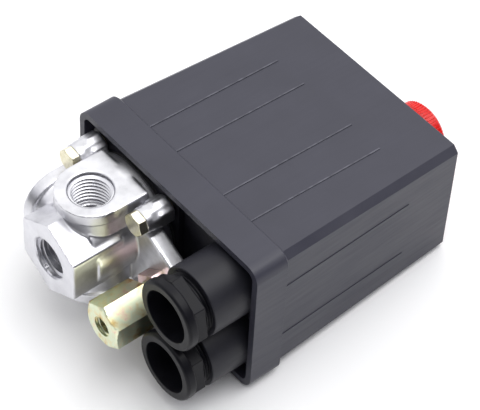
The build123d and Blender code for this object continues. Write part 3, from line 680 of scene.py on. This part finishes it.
# ------------------------------------------------------------------ unloader valve
def unloader_valve():
    """A hexagon body with a broken front corner, on a threaded neck with its lock nut."""
    node = "unloader_body"
    axis, tip = ends_of(node)
    neck = axis + ALONG * UNLOADER_HEX_LENGTH
    work = welded(node)
    turned_down(work, axis, neck.x, UNLOADER_NECK_RADIUS, UNLOADER_ROOT_RADIUS)
    finished(rounded(work, UNLOADER_ROUNDING, segments=3), "unloader_hexagon", node)
    ridge = thread(
        neck,
        ALONG,
        foot=UNLOADER_ROOT_RADIUS - ROOTED,
        crest=UNLOADER_NECK_RADIUS,
        pitch=UNLOADER_PITCH,
        length=tip.x - neck.x - UNLOADER_PLAIN_END,
    )
    finished(ridge, "unloader_neck_thread", node, replaces=False)
    tube_thread = thread(
        axis + ALONG * TUBE_PLAIN_MOUTH,
        ALONG,
        foot=TUBE_BORE_RADIUS + ROOTED,
        crest=TUBE_BORE_RADIUS - TUBE_THREAD_HEIGHT,
        pitch=TUBE_PITCH,
        length=TUBE_THREAD_LENGTH,
        steps=36,
    )
    finished(tube_thread, "unloader_tube_thread", node, replaces=False)
    nut = rounded(welded("unloader_nut"), LOCK_NUT_ROUNDING, segments=3)
    finished(nut, "unloader_lock_nut", "unloader_nut", finish=ROSE_ZINC)


unloader_valve()


# ------------------------------------------------------------------ softened mouldings and pressings
SOFTENED = {
    "cover": 0.35 * MM,
    "base": 0.15 * MM,
    "flange_screws": 0.22 * MM,
    "knob": 0.12 * MM,
    "cover_screw": 0.12 * MM,
    "lever_frame": 0.15 * MM,
    "main_lever": 0.15 * MM,
    "range_screw": 0.15 * MM,
    "terminal_block": 0.2 * MM,
    "earth_screw": 0.15 * MM,
}
# the base takes the darker copy of the cover's plastic: painted shade
OWN_FINISH = {"base": PAINTED_SHADE_BLACK}
for node, width in SOFTENED.items():
    moulding = finished(
        rounded(welded(node), width), f"{node}_softened", node, finish=OWN_FINISH.get(node)
    )
    if node == "cover":             # its raised lines' broad tops get the paler plastic: rubbing wear and a painted highlight
        moulding.data.materials.append(HIGHLIT_RUBBED_BLACK)
        smallest, largest = RAISED_LINE_AREAS
        for face in moulding.data.polygons:
            if abs(face.normal.z) > 0.99 and smallest < face.area < largest:
                face.material_index = 1


# ------------------------------------------------------------------ springs and seals
def springy(node, *bodies):
    """A spring or seal along X, cut at evenly spaced stations into one piece for each two of these
    bodies in turn; the pieces are baked where they stand and follow no body.
    """
    foot, tip = ends_of(node)
    step = (tip - foot) / (len(bodies) - 1)
    for part, (near, far) in enumerate(zip(bodies, bodies[1:])):
        start, end = foot + step * part, foot + step * (part + 1)
        work = welded(node)
        if part > 0:
            cut_at(work, start, -ALONG)
        if part < len(bodies) - 2:
            cut_at(work, end, ALONG)
        finished(work, f"{node}_springy_{part + 1}", node, stretched=(near, far, start, end))


STRUNG_BETWEEN = {
    "range_spring": ("lever", "housing", "range_seat"),
    "differential_spring": ("lever", "housing", "differential_seat"),
    "unloader_spring": ("housing", "unloader_pin"),
    "gland_seal_upper": ("gland_washer_upper", "housing"),
    "gland_seal_lower": ("gland_washer_lower", "housing"),
}
for node, bodies in STRUNG_BETWEEN.items():
    springy(node, *bodies)


# ------------------------------------------------------------------ stage
FLOOR_HALF = 3.0
FLOOR_GAP = 0.05 * MM               # keeps the floor from lying in the skirt's face
SLOPE = math.atan2(LEAN, FAR_EDGE - RIM - SKIRT_LENGTH)
paper = bpy.data.materials.new("white_paper")
paper.use_nodes = True
paper_shader = paper.node_tree.nodes["Principled BSDF"]
paper_shader.inputs["Base Color"].default_value = linear("#fbfbfb")
paper_shader.inputs["Roughness"].default_value = 0.9
sheet = bmesh.new()
bmesh.ops.create_grid(sheet, x_segments=1, y_segments=1, size=FLOOR_HALF)
bmesh.ops.rotate(sheet, verts=sheet.verts, cent=(0, 0, 0), matrix=Matrix.Rotation(-SLOPE, 3, "Y"))
bmesh.ops.translate(sheet, verts=sheet.verts, vec=(RIM + SKIRT_LENGTH, 0, -FLOOR_GAP))
floor = placed("pale_floor", mesh_of(sheet, "pale_floor", paper))

# a bright wall and ceiling behind the switch fall off to a dim room on the camera's side, which
# gives the metal and the chamfers something dark to mirror
BRIGHT_SIDE = (0.15, 0.35, 0.92)
world = bpy.data.worlds.new("studio_room")
world.use_nodes = True
room = world.node_tree
direction = add(room, "ShaderNodeTexCoord").outputs["Generated"]
facing = add(
    room, "ShaderNodeVectorMath", {0: direction, 1: BRIGHT_SIDE}, operation="DOT_PRODUCT"
).outputs["Value"]
shade = ramp(room, facing, (0.0, "#303033"), (0.3, "#5a5a5f"), (0.55, "#e4e4ea"), (0.8, "#ffffff"))
room.nodes["Background"].inputs["Strength"].default_value = 1.36
room.links.new(shade, room.nodes["Background"].inputs["Color"])
bpy.context.scene.world = world
soft_light("key_softbox", size=0.7, power=3.6, place=(0.15, -0.2, 0.78), aim=(0, 0, 0.03))
bpy.context.scene.view_settings.view_transform = "Standard"
